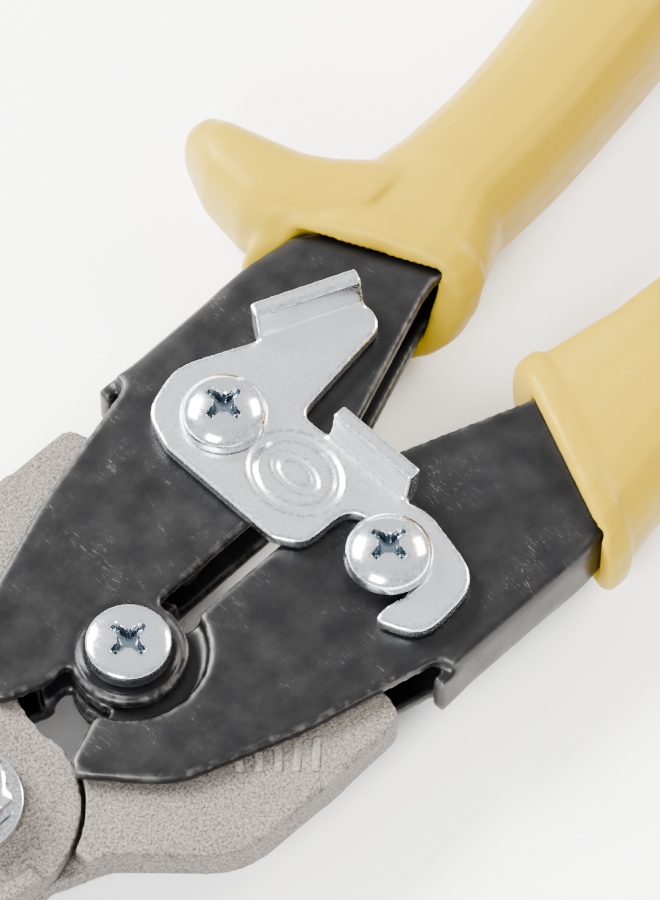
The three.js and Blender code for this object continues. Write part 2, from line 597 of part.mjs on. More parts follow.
// jaw bolt
const washerLow = TAIL_TOP + SEAT;
const headLow = washerLow + BOLT_WASHER.height + SEAT;
const lockTop = under(TAIL_TOP) - SEAT;
const boltNutTop = lockTop - LOCK_WASHER.height - SEAT;
snips.add(piece('jaw_bolt', disc(0, 0, BOLT_RADIUS, 0, headLow + 1)
  .add(hexagon(0, 0, BOLT_HEAD.acrossFlats, headLow, headLow + BOLT_HEAD.height, 0)), zinc));
snips.add(piece('jaw_bolt_washer', washerAt(0, 0,
  BOLT_WASHER, BOLT_RADIUS + RUN, washerLow + BOLT_WASHER.height), zinc));
snips.add(piece('jaw_lock_washer', washerAt(0, 0, LOCK_WASHER, BOLT_RADIUS + RUN, lockTop), zinc));
snips.add(piece('jaw_bolt_nut', hexagon(0, 0, BOLT_NUT.acrossFlats,
  boltNutTop - BOLT_NUT.height, boltNutTop, BOLT_RADIUS + RUN), zinc));

export default snips;
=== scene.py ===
"""Compound-action aviation snips: the finished surfaces, materials, light and camera, built round the CAD frame."""
import json
import math

import bmesh
import bpy
from mathutils import Matrix, Vector


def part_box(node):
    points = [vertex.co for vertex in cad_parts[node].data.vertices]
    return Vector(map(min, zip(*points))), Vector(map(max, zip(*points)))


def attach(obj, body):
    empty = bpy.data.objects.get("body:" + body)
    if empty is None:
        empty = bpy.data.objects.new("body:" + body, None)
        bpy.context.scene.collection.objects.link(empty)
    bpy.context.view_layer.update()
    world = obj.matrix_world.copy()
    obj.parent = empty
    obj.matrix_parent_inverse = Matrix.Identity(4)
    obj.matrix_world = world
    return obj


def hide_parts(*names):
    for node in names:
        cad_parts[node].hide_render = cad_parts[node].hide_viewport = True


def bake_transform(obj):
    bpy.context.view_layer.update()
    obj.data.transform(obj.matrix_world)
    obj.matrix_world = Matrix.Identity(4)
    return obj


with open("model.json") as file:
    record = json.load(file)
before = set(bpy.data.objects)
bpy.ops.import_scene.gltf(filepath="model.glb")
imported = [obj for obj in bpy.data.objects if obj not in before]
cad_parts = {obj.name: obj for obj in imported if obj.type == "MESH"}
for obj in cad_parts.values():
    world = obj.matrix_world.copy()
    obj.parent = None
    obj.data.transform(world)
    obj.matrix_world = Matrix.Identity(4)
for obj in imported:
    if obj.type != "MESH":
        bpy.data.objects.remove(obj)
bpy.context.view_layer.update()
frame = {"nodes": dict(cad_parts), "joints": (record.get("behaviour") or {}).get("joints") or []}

MM = 0.001
scene = bpy.context.scene
joint = {j["name"]: Vector(j["pos_m"]) for j in frame["joints"]}
handle_pivot = joint["handles_open"]
plate_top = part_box("right_channel")[1].z
plate_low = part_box("right_channel")[0].z
mid_z = (plate_top + plate_low) / 2


# ---- mesh helpers ----
def add_piece(name, mesh):
    piece = bpy.data.objects.new(name, mesh)
    scene.collection.objects.link(piece)
    return piece


def merged_copy(node, name):
    """A new piece with the CAD node's shape and its corners merged."""
    piece = add_piece(name, frame["nodes"][node].data.copy())
    piece.data.materials.clear()
    edit = bmesh.new()
    edit.from_mesh(piece.data)
    bmesh.ops.remove_doubles(edit, verts=edit.verts, dist=0.002 * MM)
    edit.to_mesh(piece.data)
    edit.free()
    return piece


def apply_modifiers(piece):
    """Turns the piece's modifiers into its mesh."""
    evaluated = piece.evaluated_get(bpy.context.evaluated_depsgraph_get())
    mesh = bpy.data.meshes.new_from_object(evaluated)
    piece.modifiers.clear()
    piece.data = mesh


def remesh(piece, voxel, passes, strength=0.5):
    """Gives the piece an even skin of small faces, and rounds its edges with smoothing passes."""
    skin = piece.modifiers.new("skin", "REMESH")
    skin.mode = "VOXEL"
    skin.voxel_size = voxel
    soften = piece.modifiers.new("soften", "SMOOTH")
    soften.factor = strength
    soften.iterations = passes
    apply_modifiers(piece)


def finish_piece(piece, look, body, slot, *nodes):
    """Smooth shading, one material, and the piece's place in the frame."""
    piece.data.materials.clear()
    piece.data.materials.append(look)
    piece.data.shade_smooth()
    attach(piece, body)
    if nodes:
        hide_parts(*nodes)


def smooth(value):
    value = min(max(value, 0), 1)
    return value * value * (3 - 2 * value)


# ---- material helpers ----
class Look:
    """A material built from its principled shader, with short calls for the nodes it needs."""

    def __init__(self, name):
        self.material = bpy.data.materials.new(name)
        self.material.use_nodes = True
        self.tree = self.material.node_tree
        self.shader = self.tree.nodes["Principled BSDF"]
        self.place = self.add("ShaderNodeTexCoord").outputs["Object"]

    def add(self, kind, **settings):
        node = self.tree.nodes.new(kind)
        for name, value in settings.items():
            setattr(node, name, value)
        return node

    def join(self, source, target):
        self.tree.links.new(source, target)

    def set(self, **values):
        for name, value in values.items():
            self.shader.inputs[name.replace("_", " ")].default_value = value

    def spot(self, scale, turn=0.0):
        """Object coordinates, turned about Z and scaled along each axis."""
        mapping = self.add("ShaderNodeMapping")
        mapping.inputs["Scale"].default_value = scale
        mapping.inputs["Rotation"].default_value = (0, 0, turn)
        self.join(self.place, mapping.inputs["Vector"])
        return mapping.outputs["Vector"]

    def noise(self, scale, detail=3.0, roughness=0.55, vector=None):
        node = self.add("ShaderNodeTexNoise")
        node.inputs["Scale"].default_value = scale
        node.inputs["Detail"].default_value = detail
        node.inputs["Roughness"].default_value = roughness
        self.join(vector or self.place, node.inputs["Vector"])
        return node.outputs["Fac"]

    def ramp(self, value, *stops):
        """A colour ramp; each stop is (position, grey or colour)."""
        node = self.add("ShaderNodeValToRGB")
        elements = node.color_ramp.elements
        while len(elements) < len(stops):
            elements.new(0.5)
        for element, (position, colour) in zip(elements, stops):
            element.position = position
            if isinstance(colour, (int, float)):
                colour = (colour, colour, colour)
            element.color = (*colour, 1)
        self.join(value, node.inputs["Fac"])
        return node.outputs["Color"]

    def mix(self, share, first, second, blend="MIX"):
        node = self.add("ShaderNodeMix", data_type="RGBA", blend_type=blend)
        for socket, value in (("Factor", share), ("A", first), ("B", second)):
            target = [i for i in node.inputs if i.name == socket and i.enabled][0]
            if hasattr(value, "is_linked"):
                self.join(value, target)
            elif socket == "Factor":
                target.default_value = value
            else:
                target.default_value = (*value, 1)
        return [o for o in node.outputs if o.enabled][0]

    def math(self, kind, first, second=0.0):
        node = self.add("ShaderNodeMath", operation=kind)
        for i, value in enumerate((first, second)):
            if hasattr(value, "is_linked"):
                self.join(value, node.inputs[i])
            else:
                node.inputs[i].default_value = value
        return node.outputs[0]

    def bump(self, height, distance, strength=1.0, after=None):
        node = self.add("ShaderNodeBump")
        node.inputs["Distance"].default_value = distance
        node.inputs["Strength"].default_value = strength
        self.join(height, node.inputs["Height"])
        if after is not None:
            self.join(after, node.inputs["Normal"])
        return node.outputs["Normal"]

    def wear(self, low, high):
        """How much a convex edge has rubbed, from 0 on flats to 1 on sharp edges."""
        pointed = self.add("ShaderNodeNewGeometry").outputs["Pointiness"]
        return self.ramp(pointed, (low, 0.0), (high, 1.0))


def satin_black_steel():
    look = Look("satin_black_steel")
    look.set(Metallic=0.0, IOR=1.5, Specular_IOR_Level=0.26)
    cloud = look.noise(110, 6, 0.65)
    colour = look.ramp(cloud, (0.32, (0.0006, 0.0006, 0.0008)), (0.7, (0.0034, 0.0034, 0.0042)))
    scratches = None
    for turn, across, along in ((0.5, 5200, 260), (-0.9, 6100, 320), (1.9, 4700, 210), (2.7, 6800, 400)):
        bent = look.add("ShaderNodeVectorMath", operation="MULTIPLY_ADD")
        sway = look.add("ShaderNodeTexNoise")
        sway.inputs["Scale"].default_value = 160
        look.join(look.place, sway.inputs["Vector"])
        look.join(sway.outputs["Color"], bent.inputs[0])
        bent.inputs[1].default_value = (9.0, 9.0, 9.0)
        look.join(look.spot((across, along, 300), turn), bent.inputs[2])
        lines = look.noise(1.0, 1, vector=bent.outputs[0])
        thin = look.ramp(lines, (0.70, 0.0), (0.75, 1.0))
        scratches = thin if scratches is None else look.mix(1.0, scratches, thin, "LIGHTEN")
    patches = look.ramp(look.noise(120, 4, 0.7), (0.52, 0.0), (0.66, 1.0))
    scratches = look.mix(1.0, scratches, patches, "MULTIPLY")
    colour = look.mix(look.math("MULTIPLY", scratches, 0.5), colour, (0.085, 0.085, 0.09))
    rubbed = look.ramp(look.noise(620, 4), (0.46, 0.1), (0.62, 1.0))
    worn = look.math("MULTIPLY", look.wear(0.515, 0.575), rubbed)
    colour = look.mix(look.math("MULTIPLY", worn, 0.6), colour, (0.11, 0.108, 0.105))
    look.join(colour, look.shader.inputs["Base Color"])
    gloss = look.ramp(look.noise(240, 5), (0.3, 0.30), (0.7, 0.46))
    look.join(gloss, look.shader.inputs["Roughness"])
    grain = look.bump(look.noise(3000, 3), 0.02 * MM, 0.5)
    look.join(look.bump(scratches, 0.015 * MM, 0.35, grain), look.shader.inputs["Normal"])
    return look.material


def blasted_forging():
    look = Look("blasted_forging")
    look.set(Metallic=0.8, IOR=1.6)
    fine = look.noise(2600, 5, 0.75)
    cloud = look.noise(120, 3)
    colour = look.mix(0.6, look.ramp(cloud, (0.3, (0.060, 0.050, 0.043)), (0.7, (0.105, 0.092, 0.082))),
                      look.ramp(fine, (0.38, (0.008, 0.006, 0.005)), (0.62, (0.26, 0.235, 0.21))))
    colour = look.mix(look.math("MULTIPLY", look.wear(0.53, 0.6), 0.5), colour, (0.36, 0.35, 0.34))
    look.join(colour, look.shader.inputs["Base Color"])
    look.join(look.ramp(fine, (0.3, 0.62), (0.7, 0.42)), look.shader.inputs["Roughness"])
    look.join(look.bump(fine, 0.2 * MM, 1.0), look.shader.inputs["Normal"])
    return look.material


def zinc_plate(name, grain_size, tone, dull_roughness, bright_roughness, shaded=False):
    look = Look(name)
    look.set(Metallic=1.0)
    speckle = look.noise(grain_size, 3, 0.7)
    cloud = look.noise(160, 3)
    bright = (tone, tone * 1.01, tone * 1.03)
    dull = (tone * 0.80, tone * 0.83, tone * 0.88)
    colour = look.mix(0.5, look.ramp(speckle, (0.32, dull), (0.6, bright)),
                      look.ramp(cloud, (0.3, dull), (0.6, bright)))
    hollow = look.add("ShaderNodeNewGeometry").outputs["Pointiness"]
    # Painted shade: concave hollows and creases are darkened to a dark bluish grey, broken up by noise.
    painted_hollow_shade = look.math("MULTIPLY", look.ramp(hollow, (0.42, 1.0), (0.485, 0.0)),
                     look.ramp(look.noise(1400, 3), (0.42, 0.2), (0.6, 1.0)))
    colour = look.mix(look.math("MULTIPLY", painted_hollow_shade, 0.75), colour, (0.12, 0.135, 0.16))
    # Painted shade: a thin dark bluish band, broken up by noise, where the flats begin to round over at the rims; it
    # stands in for the edges' dark reflection.
    painted_rim_shade = look.math("MULTIPLY", look.ramp(hollow, (0.503, 0.0), (0.510, 1.0), (0.522, 1.0), (0.535, 0.0)),
                          look.ramp(look.noise(2200, 4, 0.8), (0.44, 0.0), (0.56, 1.0)))
    colour = look.mix(look.math("MULTIPLY", painted_rim_shade, 0.6), colour, (0.16, 0.18, 0.22))
    look.join(colour, look.shader.inputs["Base Color"])
    look.join(look.ramp(speckle, (0.3, dull_roughness), (0.7, bright_roughness)), look.shader.inputs["Roughness"])
    look.join(look.bump(speckle, 0.015 * MM, 0.45), look.shader.inputs["Normal"])
    if shaded:
        sunk = look.add("ShaderNodeAttribute", attribute_name="sunk").outputs["Fac"]
        shade = look.ramp(sunk, (0.15, (1, 1, 1)), (0.85, (0.24, 0.29, 0.33)))
        look.join(look.mix(1.0, colour, shade, "MULTIPLY"), look.shader.inputs["Base Color"])
    return look.material


def yellow_dip():
    look = Look("yellow_dip")
    look.set(IOR=1.46, Specular_IOR_Level=0.3)
    look.shader.inputs["Specular Tint"].default_value = (1.0, 0.80, 0.16, 1)
    cloud = look.noise(45, 3)
    colour = look.ramp(cloud, (0.3, (0.27, 0.176, 0.0)), (0.7, (0.30, 0.200, 0.0)))
    streaks = look.ramp(look.noise(1.0, 2, vector=look.spot((300, 1800, 300), 0.4)), (0.62, 0.0), (0.75, 1.0))
    patch = look.ramp(look.noise(60, 2), (0.56, 0.0), (0.68, 1.0))
    streaks = look.mix(1.0, streaks, patch, "MULTIPLY")
    colour = look.mix(look.math("MULTIPLY", streaks, 0.10), colour, (0.22, 0.17, 0.05))
    look.join(colour, look.shader.inputs["Base Color"])
    look.join(look.ramp(look.noise(300, 3), (0.3, 0.34), (0.7, 0.46)), look.shader.inputs["Roughness"])
    look.join(look.bump(look.noise(1500, 3), 0.015 * MM, 0.3), look.shader.inputs["Normal"])
    return look.material


black_steel = satin_black_steel()
forged_steel = blasted_forging()
latch_zinc = zinc_plate("latch_zinc", 1700, 0.93, 0.30, 0.17)
screw_zinc = zinc_plate("screw_zinc", 900, 0.93, 0.20, 0.09, shaded=True)
spring_wire = zinc_plate("spring_wire", 600, 0.5, 0.4, 0.3)
yellow_plastic = yellow_dip()


# ---- pressed handles ----
def round_bends(piece):
    """Softens the long bends between the plates and the outer wall, where the wall is unbroken."""
    mesh = piece.data
    side = 1 if sum(v.co.y for v in mesh.vertices) > 0 else -1
    outermost = {}
    for v in mesh.vertices:
        step = round(v.co.x / MM)
        outermost[step] = max(outermost.get(step, -1), v.co.y * side)
    wall_front = max(v.co.x for v in mesh.vertices
                     if abs(v.co.z - mid_z) < 0.6 * MM and v.co.y * side > outermost[round(v.co.x / MM)] - 2.5 * MM)
    group = piece.vertex_groups.new(name="bend")
    for v in mesh.vertices:
        inside = outermost[round(v.co.x / MM)] - v.co.y * side
        near = smooth((5.5 * MM - inside) / (2.5 * MM)) * smooth((wall_front - 1.5 * MM - v.co.x) / (5 * MM))
        if near > 0:
            group.add([v.index], near, "REPLACE")
    soften = piece.modifiers.new("bend", "SMOOTH")
    soften.factor = 0.5
    soften.iterations = 70
    soften.vertex_group = "bend"
    apply_modifiers(piece)


def pressed_handle(node, name, body, lip):
    piece = merged_copy(node, name)
    remesh(piece, 0.5 * MM, 4)
    round_bends(piece)
    middle, backwards = lip
    for v in piece.data.vertices:
        hidden = smooth(((v.co - middle).dot(backwards) - 1.5 * MM) / (3 * MM))
        v.co.z += (mid_z - v.co.z) * 0.1 * hidden
        v.co.y -= math.copysign(0.9 * MM, v.co.y) * hidden
    finish_piece(piece, black_steel, body, "black_steel", node)


def behind_lip(piece, lip, back):
    """Keeps the part of the piece that lies behind the lip's face."""
    middle, backwards = lip
    edit = bmesh.new()
    edit.from_mesh(piece.data)
    whole = edit.verts[:] + edit.edges[:] + edit.faces[:]
    cut = bmesh.ops.bisect_plane(edit, geom=whole, plane_co=middle + backwards * back, plane_no=backwards,
                                 clear_inner=True)
    rim = [e for e in cut["geom_cut"] if isinstance(e, bmesh.types.BMEdge)]
    bmesh.ops.triangle_fill(edit, use_beauty=True, edges=rim)
    edit.to_mesh(piece.data)
    edit.free()


def dipped_grip(node, name, body, steel, lip, core_back):
    piece = merged_copy(node, name)
    core = merged_copy(steel, name + "_core")
    behind_lip(core, lip, core_back * MM)
    shape = bmesh.new()
    shape.from_mesh(piece.data)
    shape.from_mesh(core.data)
    shape.to_mesh(piece.data)
    shape.free()
    bpy.data.objects.remove(core)
    remesh(piece, 0.45 * MM, 10)
    swell = piece.modifiers.new("swell", "DISPLACE")
    swell.strength = 0.25 * MM
    swell.mid_level = 0
    apply_modifiers(piece)
    finish_piece(piece, yellow_plastic, body, "yellow_plastic", node)


def forged_jaw(node, name, body):
    piece = merged_copy(node, name)
    remesh(piece, 0.45 * MM, 3)
    finish_piece(piece, forged_steel, body, "forged_steel", node)


def lift_face(piece, face_z, height_at):
    """Moves the piece's flat top face by height_at(x, y) in mm."""
    for v in piece.data.vertices:
        if abs(v.co.z - face_z) < 0.25 * MM:
            v.co.z += height_at(v.co.x / MM, v.co.y / MM) * MM


BEAD_MIDDLE = (-64.6, -2.6)
BEAD_HALF = (5.2, 6.4)


def stamped_bead(x, y):
    """A shallow oval groove with a low island in its middle."""
    across, along = (x - BEAD_MIDDLE[0]) / BEAD_HALF[0], (y - BEAD_MIDDLE[1]) / BEAD_HALF[1]
    groove = smooth(1 - abs(math.hypot(across, along) - 1) / 0.17)
    island = smooth(1 - abs(math.hypot(across / 0.36, along / 0.52) - 1) / 0.34)
    return -0.34 * groove - 0.22 * island


def stamped_latch():
    piece = merged_copy("latch", "stamped_latch")
    remesh(piece, 0.25 * MM, 18)
    lift_face(piece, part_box("latch")[0].z + 2.2 * MM, stamped_bead)
    finish_piece(piece, latch_zinc, "latch", "zinc", "latch")


# ---- fasteners ----
def ringed_solid(name, rings, segments, radius_at=None, lift_at=None):
    """A closed round body from the middle of its top to the middle of its bottom, through rings of (radius, z)."""
    mesh = bpy.data.meshes.new(name)
    (_, top), *middle, (_, bottom) = rings
    lift = lift_at or (lambda x, y, z: 0)
    corners, sunk = [(0, 0, top + lift(0, 0, top))], [-lift(0, 0, top)]
    for radius, z in middle:
        for i in range(segments):
            angle = 2 * math.pi * i / segments
            reach = radius_at(radius, angle, z) if radius_at else radius
            x, y = reach * math.cos(angle), reach * math.sin(angle)
            corners.append((x, y, z + lift(x, y, z)))
            sunk.append(-lift(x, y, z))
    corners.append((0, 0, bottom))
    sunk.append(0)
    last = len(corners) - 1

    def at(ring, i):
        return 1 + ring * segments + i % segments

    faces = [(0, at(0, i), at(0, i + 1)) for i in range(segments)]
    for ring in range(len(middle) - 1):
        faces += [(at(ring, i), at(ring + 1, i), at(ring + 1, i + 1), at(ring, i + 1)) for i in range(segments)]
    faces += [(last, at(len(middle) - 1, i + 1), at(len(middle) - 1, i)) for i in range(segments)]
    mesh.from_pydata([tuple(c * MM for c in corner) for corner in corners], [], faces)
    mesh.update()
    share = mesh.attributes.new("sunk", "FLOAT", "POINT")
    for depth, datum in zip(sunk, share.data):
        datum.value = min(depth / 1.5, 1)
    return mesh


def cross_recess(x, y, depth, reach, half_width):
    """How far the screwdriver's four tapered wings cut down at (x, y)."""
    cut = 0
    for along, across in ((abs(x), abs(y)), (abs(y), abs(x))):
        width = half_width * (1 - 0.28 * along / reach)
        side = smooth((width - across) / (0.42 * half_width))
        end = smooth((reach - along) / (0.5 * reach))
        tip = smooth((reach - along) / (0.14 * reach))
        cut = max(cut, side * (0.45 + 0.55 * end) * tip)
    core = smooth((half_width * 1.75 - math.hypot(x, y)) / (0.6 * half_width))
    return -depth * max(cut, core)


def screw_mesh(name, head_radius, rim, height, shank_length):
    """A domed screw with a cross recess; its seat is at z 0."""
    dome = [(head_radius * share, rim + (height - rim) * math.sqrt(1 - share ** 2.3))
            for share in [i / 30 for i in range(1, 28)] + [0.93, 0.955, 0.975, 0.99]]
    side = [(head_radius, rim - 0.12), (head_radius + 0.02, rim * 0.5), (head_radius, 0.35),
            (head_radius - 0.25, 0.05)]
    shank = [(head_radius - 0.5, 0), (2.75, 0), (2.55, -0.2), (2.55, -shank_length + 3.6)]
    turns = 8
    for i in range(turns):
        z = -shank_length + 3.4 - 3.0 * i / turns
        shank += [(2.58, z), (2.32, z - 1.5 / turns)]
    rings = [(0, height), *dome, *side, *shank, (2.2, -shank_length), (0, -shank_length)]

    def lift(x, y, z):
        return cross_recess(x, y, 1.9, 3.05, 0.86) if z > rim - 0.1 else 0

    return ringed_solid(name, rings, 112, lift_at=lift)


def nut_mesh(name, across_flats, height, bore):
    """A hexagon nut with chamfered corners, standing on z 0, with a shallow countersink round its bore."""
    def reach(radius, angle, z):
        if radius <= bore + 0.7:
            return radius
        turned = (angle + math.pi / 6) % (math.pi / 3) - math.pi / 6
        flat = across_flats / 2 / math.cos(turned)
        return min(flat, radius)
    half = across_flats / 2
    corner = half * 1.155
    rings = [(0, height - 0.5), (bore - 0.1, height - 0.5), (bore, height - 0.45), (bore + 0.5, height),
             (half * 0.93, height), (half * 0.99, height - 0.05), (half * 1.04, height - 0.22),
             (corner, height - 0.62),
             (corner, 0.62), (half * 1.04, 0.22), (half * 0.99, 0.05), (half * 0.93, 0),
             (bore + 0.5, 0), (bore, 0.45), (bore - 0.1, 0.5), (0, 0.5)]
    return ringed_solid(name, rings, 96, radius_at=reach)


def washer_mesh(name, radius, height):
    """A stamped washer with rounded rims, standing on z 0. Its middle is filled, where the screw passes."""
    soft = min(0.22, height * 0.3)
    rings = [(0, height - 0.1), (radius * 0.3, height - 0.1), (radius - soft * 1.6, height),
             (radius - soft, height - soft * 0.1),
             (radius - soft * 0.25, height - soft * 0.45), (radius, height - soft),
             (radius, soft), (radius - soft * 0.25, soft * 0.45), (radius - soft, soft * 0.1),
             (radius - soft * 1.6, 0), (0, 0)]
    return ringed_solid(name, rings, 96)


def bolt_mesh(name, across_flats, head, shank_radius, shank_length):
    """A hexagon bolt; its head stands on z 0, with a domed, chamfered top."""
    def reach(radius, angle, z):
        if z <= 0.01 and radius < across_flats * 0.46:
            return radius
        turned = (angle + math.pi / 6) % (math.pi / 3) - math.pi / 6
        return min(across_flats / 2 / math.cos(turned), radius)
    half = across_flats / 2
    corner = half * 1.155
    top = [(half * share, head - 0.25 * share ** 2) for share in (0.15, 0.3, 0.45, 0.6, 0.75, 0.86)]
    rings = [(0, head), *top, (half * 0.93, head - 0.34), (half * 0.98, head - 0.5), (corner, head - 1.05),
             (corner, 0.25), (corner - 0.2, 0.02), (half * 0.9, 0), (shank_radius, 0),
             (shank_radius, -shank_length + 0.5), (shank_radius - 0.5, -shank_length), (0, -shank_length)]
    return ringed_solid(name, rings, 96, radius_at=reach)


def placing_nodes():
    """Puts a part on each point, turned by the point's own angle plus a small uneven one."""
    group = bpy.data.node_groups.new("placed_parts", "GeometryNodeTree")
    sockets = {}
    for name, kind in (("Points", "Geometry"), ("Part", "Object"), ("Unevenness", "Float"), ("Seed", "Int"),
                       ("Material", "Material")):
        sockets[name] = group.interface.new_socket(name, in_out="INPUT", socket_type=f"NodeSocket{kind}").identifier
    group.interface.new_socket("Parts", in_out="OUTPUT", socket_type="NodeSocketGeometry")
    add = group.nodes.new
    start, end = add("NodeGroupInput"), add("NodeGroupOutput")
    part = add("GeometryNodeObjectInfo")
    part.inputs["As Instance"].default_value = True
    angle = add("GeometryNodeInputNamedAttribute")
    angle.inputs["Name"].default_value = "angle"
    uneven = add("FunctionNodeRandomValue")
    low = add("ShaderNodeMath")
    low.operation = "MULTIPLY"
    low.inputs[1].default_value = -1
    total = add("ShaderNodeMath")
    turn = add("ShaderNodeCombineXYZ")
    place, realize = add("GeometryNodeInstanceOnPoints"), add("GeometryNodeRealizeInstances")
    paint = add("GeometryNodeSetMaterial")
    join = group.links.new
    join(start.outputs["Part"], part.inputs["Object"])
    join(start.outputs["Unevenness"], low.inputs[0])
    floats = [i for i in uneven.inputs if i.type == "VALUE"]
    join(low.outputs[0], floats[0])
    join(start.outputs["Unevenness"], floats[1])
    join(start.outputs["Seed"], [i for i in uneven.inputs if i.name == "Seed"][0])
    join(angle.outputs["Attribute"], total.inputs[0])
    join([o for o in uneven.outputs if o.type == "VALUE"][0], total.inputs[1])
    join(total.outputs[0], turn.inputs["Z"])
    join(start.outputs["Points"], place.inputs["Points"])
    join(part.outputs["Geometry"], place.inputs["Instance"])
    join(turn.outputs[0], place.inputs["Rotation"])
    join(place.outputs[0], realize.inputs[0])
    join(realize.outputs[0], paint.inputs["Geometry"])
    join(start.outputs["Material"], paint.inputs["Material"])
    join(paint.outputs[0], end.inputs[0])
    return group, sockets


placed_parts, part_socket = placing_nodes()


def place_parts(name, part_mesh, places, look, body, slot, nodes, seed, uneven=0.0):
    """One piece holding the same part at each (x, y, z, angle), in metres and radians."""
    holder = bpy.data.meshes.new(name)
    holder.from_pydata([place[:3] for place in places], [], [])
    angles = holder.attributes.new("angle", "FLOAT", "POINT")
    for datum, place in zip(angles.data, places):
        datum.value = place[3]
    piece = add_piece(name, holder)
    part = add_piece(name + "_part", part_mesh)
    nodes_modifier = piece.modifiers.new("parts", "NODES")
    nodes_modifier.node_group = placed_parts
    for socket, value in (("Part", part), ("Unevenness", uneven), ("Seed", seed), ("Material", look)):
        nodes_modifier[part_socket[socket]] = value
    apply_modifiers(piece)
    bpy.data.objects.remove(part)
    finish_piece(piece, look, body, slot, *nodes)
    edges_stay_crisp(piece)
    return piece


def edges_stay_crisp(piece, degrees=32):
    """Keeps sharp edges sharp while the rest of the piece is shaded smooth."""
    piece.data.set_sharp_from_angle(angle=math.radians(degrees))


def middle_of(node, z):
    low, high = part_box(node)
    return (low.x + high.x) / 2, (low.y + high.y) / 2, z


def standing_on_low(nodes, angle):
    return [(*middle_of(node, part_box(node)[0].z), angle) for node in nodes]


def head_place(node, head_height, angle):
    return (*middle_of(node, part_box(node)[1].z - head_height * MM), angle)


def shank_length(node, head_height):
    low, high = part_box(node)
    return (high.z - low.z) / MM - head_height


def fasteners():
    pan, pivot = 3.8, 3.5
    for side, body, node, seed, angle in (("right", "right_handle", "latch_pivot_screw", 3, 0.0),
                                          ("left", "left_handle", "latch_stud_screw", 7, 0.0)):
        place_parts(side + "_latch_screw", screw_mesh("pan_screw", 6, 0.75, pan, shank_length(node, pan)),
                    [head_place(node, pan, angle)], screw_zinc, body, "zinc", [node], seed)
    place_parts("handle_screw", screw_mesh("pivot_screw", 5.7, 2.4, pivot, shank_length("handle_pivot_screw", pivot)),
                [head_place("handle_pivot_screw", pivot, 0.0)], screw_zinc, "right_handle", "zinc",
                ["handle_pivot_screw"], 11)
    for side, names in (("right", ["latch_pivot", "handle_pivot"]), ("left", ["latch_stud"])):
        body = side + "_handle"
        nuts = [name + "_nut" for name in names]
        washers = [name + "_washer" for name in names]
        place_parts(side + "_nuts", nut_mesh("small_nut", 8, 2.8, 2.6), standing_on_low(nuts, 0.5),
                    screw_zinc, body, "zinc", nuts, 5, 0.3)
        place_parts(side + "_washers", washer_mesh("small_washer", 5, 0.8), standing_on_low(washers, 0.0),
                    screw_zinc, body, "zinc", washers, 5)
    low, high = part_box("jaw_bolt")
    head = 4.6
    place_parts("jaw_bolt_body", bolt_mesh("bolt", 13, head, 4, (high.z - low.z) / MM - head),
                [(0, 0, high.z - head * MM, math.pi / 6)], screw_zinc, "top_jaw", "zinc", ["jaw_bolt"], 13)
    place_parts("jaw_washer", washer_mesh("wide_washer", 8.5, 1.2), standing_on_low(["jaw_bolt_washer"], 0.0),
                screw_zinc, "top_jaw", "zinc", ["jaw_bolt_washer"], 13)
    place_parts("jaw_nut", nut_mesh("wide_nut", 13, 4.3, 4.1), standing_on_low(["jaw_bolt_nut"], math.pi / 6),
                screw_zinc, "top_jaw", "zinc", ["jaw_bolt_nut"], 13)
    place_parts("jaw_spring_washer", washer_mesh("lock_washer", 7, 1.3), standing_on_low(["jaw_lock_washer"], 0.0),
                screw_zinc, "top_jaw", "zinc", ["jaw_lock_washer"], 13)


def raised_bars():
    """Five plain raised bars, side by side on the tail of the lower jaw."""
    mesh = bpy.data.meshes.new("bar")
    edit = bmesh.new()
    bmesh.ops.create_cube(edit, size=1, matrix=Matrix.Diagonal((5.2 * MM, 1.15 * MM, 0.7 * MM, 1)))
    bmesh.ops.bevel(edit, geom=edit.edges[:], offset=0.25 * MM, segments=3, affect="EDGES", profile=0.5)
    edit.to_mesh(mesh)
    edit.free()
    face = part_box("bottom_jaw")[1].z
    places = []
    for i in range(5):
        run = (i - 2) * 2.5 * 0.7071
        places.append(((-34.6 - run) * MM, (24.2 + run) * MM, face - 0.12 * MM, math.pi / 4))
    place_parts("tail_bars", mesh, places, forged_steel, "bottom_jaw", "forged_steel", [], 17, 0.06)


def spring_nodes():
    """A coil spring along Z from its base, wound from a wire."""
    group = bpy.data.node_groups.new("coil", "GeometryNodeTree")
    sockets = {}
    for name, kind in (("Base", "Geometry"), ("Turns", "Float"), ("Radius", "Float"), ("Length", "Float"),
                       ("Wire", "Float"), ("Material", "Material")):
        sockets[name] = group.interface.new_socket(name, in_out="INPUT", socket_type=f"NodeSocket{kind}").identifier
    group.interface.new_socket("Coil", in_out="OUTPUT", socket_type="NodeSocketGeometry")
    add, join = group.nodes.new, group.links.new
    start, end = add("NodeGroupInput"), add("NodeGroupOutput")
    coil, section = add("GeometryNodeCurveSpiral"), add("GeometryNodeCurvePrimitiveCircle")
    sweep = add("GeometryNodeCurveToMesh")
    realize, paint = add("GeometryNodeRealizeInstances"), add("GeometryNodeSetMaterial")
    coil.inputs["Resolution"].default_value = 28
    section.inputs["Resolution"].default_value = 10
    sweep.inputs["Fill Caps"].default_value = True
    join(start.outputs["Turns"], coil.inputs["Rotations"])
    join(start.outputs["Radius"], coil.inputs["Start Radius"])
    join(start.outputs["Radius"], coil.inputs["End Radius"])
    join(start.outputs["Length"], coil.inputs["Height"])
    join(start.outputs["Wire"], section.inputs["Radius"])
    join(coil.outputs[0], sweep.inputs["Curve"])
    join(section.outputs[0], sweep.inputs["Profile Curve"])
    join(sweep.outputs[0], realize.inputs[0])
    join(realize.outputs[0], paint.inputs["Geometry"])
    join(start.outputs["Material"], paint.inputs["Material"])
    join(paint.outputs[0], end.inputs[0])
    return group, sockets


